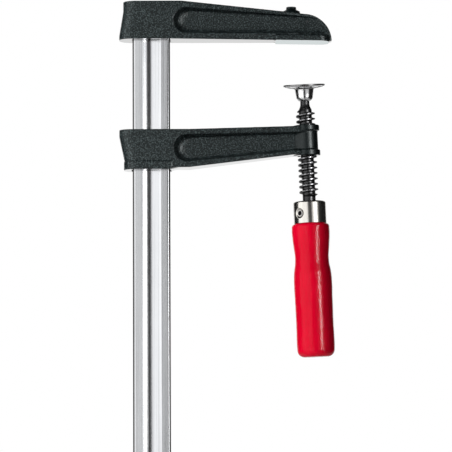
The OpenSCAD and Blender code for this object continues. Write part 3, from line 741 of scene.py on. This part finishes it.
# Handle
# A turned beech handle with a waist for the fingers, dipped in red gloss lacquer. Its tenon
# fills the ferrule, and the lacquer shows the turning's faint waves.
handle_top = ferrule_low
handle_low = turned("handle", spindle_frame)[0]
handle_l = handle_top - handle_low
tenon_play = 0.05
tenon_r = ferrule_in - tenon_play
# Grip outline: share of the length and diameter, joined by a smooth curve
grip = [(0.03, 27.5), (0.06, 27.7), (0.12, 27.1), (0.18, 25.9), (0.24, 24.8), (0.30, 25.25), (0.36, 27.1),
        (0.42, 27.9), (0.46, 28.0), (0.57, 27.7), (0.75, 27.4), (0.90, 27.75), (0.94, 27.3)]


def grip_r(t):
    """Radius at a share of the length, by a Catmull-Rom curve through the outline."""
    t = min(max(t, grip[0][0]), grip[-1][0])
    i = max(k for k in range(len(grip) - 1) if grip[k][0] <= t)
    p = [grip[min(max(k, 0), len(grip) - 1)] for k in (i - 1, i, i + 1, i + 2)]
    u = (t - p[1][0]) / (p[2][0] - p[1][0])
    m1 = (p[2][1] - p[0][1]) / max(p[2][0] - p[0][0], 1e-6) * (p[2][0] - p[1][0])
    m2 = (p[3][1] - p[1][1]) / max(p[3][0] - p[1][0], 1e-6) * (p[2][0] - p[1][0])
    d = (2 * u**3 - 3 * u**2 + 1) * p[1][1] + (u**3 - 2 * u**2 + u) * m1
    d += (3 * u**2 - 2 * u**3) * p[2][1] + (u**3 - u**2) * m2
    return d / 2


handle_rows = 150
end_r = 5.2
shoulder_r = 2.2
end_flat_r = 3.0
shoulder_rows = 8
end_rows = 12
first_r, last_r = grip_r(grip[0][0]), grip_r(grip[-1][0])
profile = [(tenon_r, ferrule_top - ferrule_wall - 2 * tenon_play), (tenon_r, handle_top + tenon_play)]
for i in range(shoulder_rows + 1):
    a = math.pi / 2 * i / shoulder_rows
    profile.append((first_r - shoulder_r * (1 - math.sin(a)), handle_top - shoulder_r * (1 - math.cos(a))))
body_top = handle_top - shoulder_r
body_low = handle_low + end_r
for i in range(1, handle_rows):
    z = body_top + (body_low - body_top) * i / handle_rows
    profile.append((grip_r((handle_top - z) / handle_l), z))
for i in range(end_rows + 1):
    a = math.pi / 2 * i / end_rows
    profile.append((last_r - end_r * (1 - math.cos(a)), body_low - end_r * math.sin(a)))
profile += [(end_flat_r, handle_low), (0.0, handle_low)]
# The lacquered wall's waves: height, how close together they are, in waves per metre, and the
# radius inside which there are none
wave_mm = 0.08
swell_waves = 230
ripple_across, ripple_along = 60, 600
ripple_share = 0.4
smooth_r = 12 * mm


def lacquered(v):
    """The wall with the slight waves of turned wood under a thick lacquer."""
    r = math.hypot(v.x, v.y)
    if r < smooth_r or v.z > (handle_top - 1) * mm:
        return v
    swell = noise.noise(v * swell_waves)
    ripple = noise.noise(Vector((v.x * ripple_across, v.y * ripple_across, v.z * ripple_along + 5)))
    return v + Vector((v.x, v.y, 0)) / r * (wave_mm * (swell + ripple_share * ripple) * mm)


handle_steps = 160
handle_verts, handle_faces = lathe(profile, handle_steps, Matrix.Identity(4), False)
handle = solid("turned_handle", [spindle_frame @ lacquered(v) for v in handle_verts], handle_faces)
red_deep = (0.74, 0.001, 0.022, 1)
red_full = (0.84, 0.002, 0.030, 1)
red = Finish("red_gloss_lacquer_on_beech", Specular_IOR_Level=0.11)
veins = red.place.grain(0.9, 4.0, (1, 1, 0.04))
cloud = red.place.grain(0.06, 2.0)
frost = red.place.grain(0.42, 2.0)
crackle = red.place.grain(1.2, 2.0)
red.feed(Base_Color=(veins * cloud).ramp(0.1, 0.5).blend(red_deep, red_full),
         Roughness=0.07 + 0.08 * veins,
         Normal=frost.bump(0.13, crackle.bump(0.09, veins.bump(0.01))))
paint(handle, red)
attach(handle, "screw")
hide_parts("handle")

# Studio
# A pale floor under the clamp, soft boxes at both sides, a wash for the floor from above, and
# dark cards that give the round metal its dark lines. None of it belongs to the clamp.


def card(name, centre, facing, width, height, material, seen=False):
    """A flat studio board that faces a point."""
    z = (Vector(facing) - Vector(centre)).normalized()
    place = pose_along(Vector(centre), z, (0, 0, 1) if abs(z.z) < 0.9 else (1, 0, 0))
    w, h = width / 2, height / 2
    mesh = bpy.data.meshes.new(name)
    corners = ((-h, -w, 0), (h, -w, 0), (h, w, 0), (-h, w, 0))
    mesh.from_pydata([place @ Vector(c) for c in corners], [], [(0, 1, 2, 3)])
    mesh.materials.append(material)
    obj = bpy.data.objects.new(name, mesh)
    bpy.context.scene.collection.objects.link(obj)
    obj.visible_camera = seen
    return obj


def soft_box(name, at, aim, width, height, watts):
    """A rectangular lamp that faces a point; width and height are in metres."""
    lamp = bpy.data.lights.new(name, "AREA")
    lamp.shape = "RECTANGLE"
    lamp.size = width
    lamp.size_y = height
    lamp.energy = watts
    obj = bpy.data.objects.new(name, lamp)
    bpy.context.scene.collection.objects.link(obj)
    z = (Vector(at) - Vector(aim)).normalized()
    across = (0, 0, 1) if abs(z.z) < 0.9 else (1, 0, 0)
    obj.matrix_world = pose_along(Vector(at), z, across) @ Matrix.Rotation(math.radians(90), 4, "Z")
    return obj


def plain(name, colour):
    """A matt paint for the studio's boards."""
    material = bpy.data.materials.new(name)
    material.use_nodes = True
    shader = material.node_tree.nodes["Principled BSDF"]
    shader.inputs["Base Color"].default_value = (*colour, 1)
    shader.inputs["Roughness"].default_value = 0.9
    return material


def around(degrees, distance):
    """A place at the clamp's height, by its bearing from the camera's side towards the right."""
    turn = math.radians(degrees)
    return middle + Vector((math.sin(turn), -math.cos(turn), 0)) * distance


def flag(name, start, end, height, board):
    """A board that stands upright between two places."""
    middle_of = (start + end) / 2
    across = end - start
    facing = middle_of + Vector((-across.y, across.x, 0))
    return card(name, middle_of, facing, across.length, height, board)


# The floor lies under the handle's end at the lowest place that the arm and the spindle reach
travel_down = 0.2685
floor_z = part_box("handle")[0][2] - travel_down - 2 * mm
middle = Vector((-0.056, 0, -0.135))
floor = card("pale_floor", (0, 0, floor_z), (0, 0, 1), 3, 3, plain("pale_floor", (0.86, 0.86, 0.86)), True)
dark = plain("dark_card", (0.02, 0.02, 0.02))
grey = plain("grey_card", (0.30, 0.30, 0.30))
flag("flag_in_front", Vector((-0.101, -0.38, -0.135)), Vector((0.097, -0.38, -0.135)), 1.8, grey)
flag("flag_right", around(60, 0.75), around(146, 1.2), 2.4, dark)
flag("flag_left", around(-88, 0.9), around(-148, 1.3), 2.4, dark)
card("flag_above", (-0.05, -0.1, 0.45), (-0.05, -0.1, 0), 1.6, 1.4, dark)
card("flag_behind", (0, 0.06, -0.031), (0, 0, -0.031), 0.06, 0.030, dark)
soft_box("left_box", around(-30, 1.5), middle, 1.2, 2.4, 4.2)
soft_box("far_left_box", around(-71, 1.5), middle, 1.0, 2.4, 5)
# The strip and the streaks stand at one place on the right and show only as highlights
right_at = around(40, 1.3)
strip = soft_box("right_strip", right_at + Vector((0, 0, 0.005)), middle, 0.34, 0.47, 2.5)
strip.visible_diffuse = False
streak_w = 0.25
for name, height, raised, watts, takers in (("right_streak", 0.62, 0.08, 16, (handle,)),
                                            ("screw_streak", 0.62, 0.08, 11, (spindle,)),
                                            ("arm_streak", 0.14, 0.21, 7, (fixed_arm, sliding_arm))):
    streak = soft_box(name, right_at + Vector((0, 0, raised)), middle, streak_w, height, watts)
    streak.visible_diffuse = False
    streak.light_linking.receiver_collection = bpy.data.collections.new(name)
    for taker in takers:
        streak.light_linking.receiver_collection.objects.link(taker)
wash = soft_box("floor_wash", (-0.05, 0, 1.6), (-0.05, 0, 0), 3, 3, 20)
washed = bpy.data.collections.new("washed")
washed.objects.link(floor)
wash.light_linking.receiver_collection = washed
shading = bpy.data.collections.new("shading")
for piece in (rail, fixed_arm, sliding_arm, spindle, plate, ferrule, handle):
    shading.objects.link(piece)
wash.light_linking.blocker_collection = shading
key = soft_box("left_key", around(-38, 1.6) + Vector((0, 0, 0.4)), middle, 0.9, 0.9, 17.2)
key.visible_glossy = False

world = bpy.data.worlds.new("studio")
bpy.context.scene.world = world
world.use_nodes = True
sky = world.node_tree.nodes["Background"]
rays = world.node_tree.nodes.new("ShaderNodeLightPath")
# White where it is seen or mirrored, and a weaker fill for everything else
seen, mirrored, through = (Wire(rays.outputs["Is %s Ray" % kind])
                           for kind in ("Camera", "Glossy", "Transmission"))
seen = seen.math("MAXIMUM", seen.math("MAXIMUM", seen, mirrored), through)
fill = 0.35
shown = seen * (1 - fill) + fill
world.node_tree.links.new(shown.socket, sky.inputs["Strength"])
sky.inputs["Color"].default_value = (1, 1, 1, 1)

# Camera
# A long lens two metres in front of the clamp and a little below its middle, turned so that
# the rail leans as it does in the photo.
camera = bpy.data.objects.new("camera", bpy.data.cameras.new("camera"))
bpy.context.scene.collection.objects.link(camera)
camera_at = Vector((-0.0566, -2.0, -0.2993))
aim = Vector((-0.0566, 0, -0.1354))
camera.data.sensor_width = 36
camera.data.lens = 218.35
camera.data.clip_end = 20
look = (camera_at - aim).normalized()
roll = math.radians(-0.252)
side = Vector((0, 0, 1)).cross(look).normalized()
camera.matrix_world = pose_along(camera_at, look, side) @ Matrix.Rotation(roll, 4, "Z")
bpy.context.scene.camera = camera

bpy.context.scene.view_settings.view_transform = "Standard"
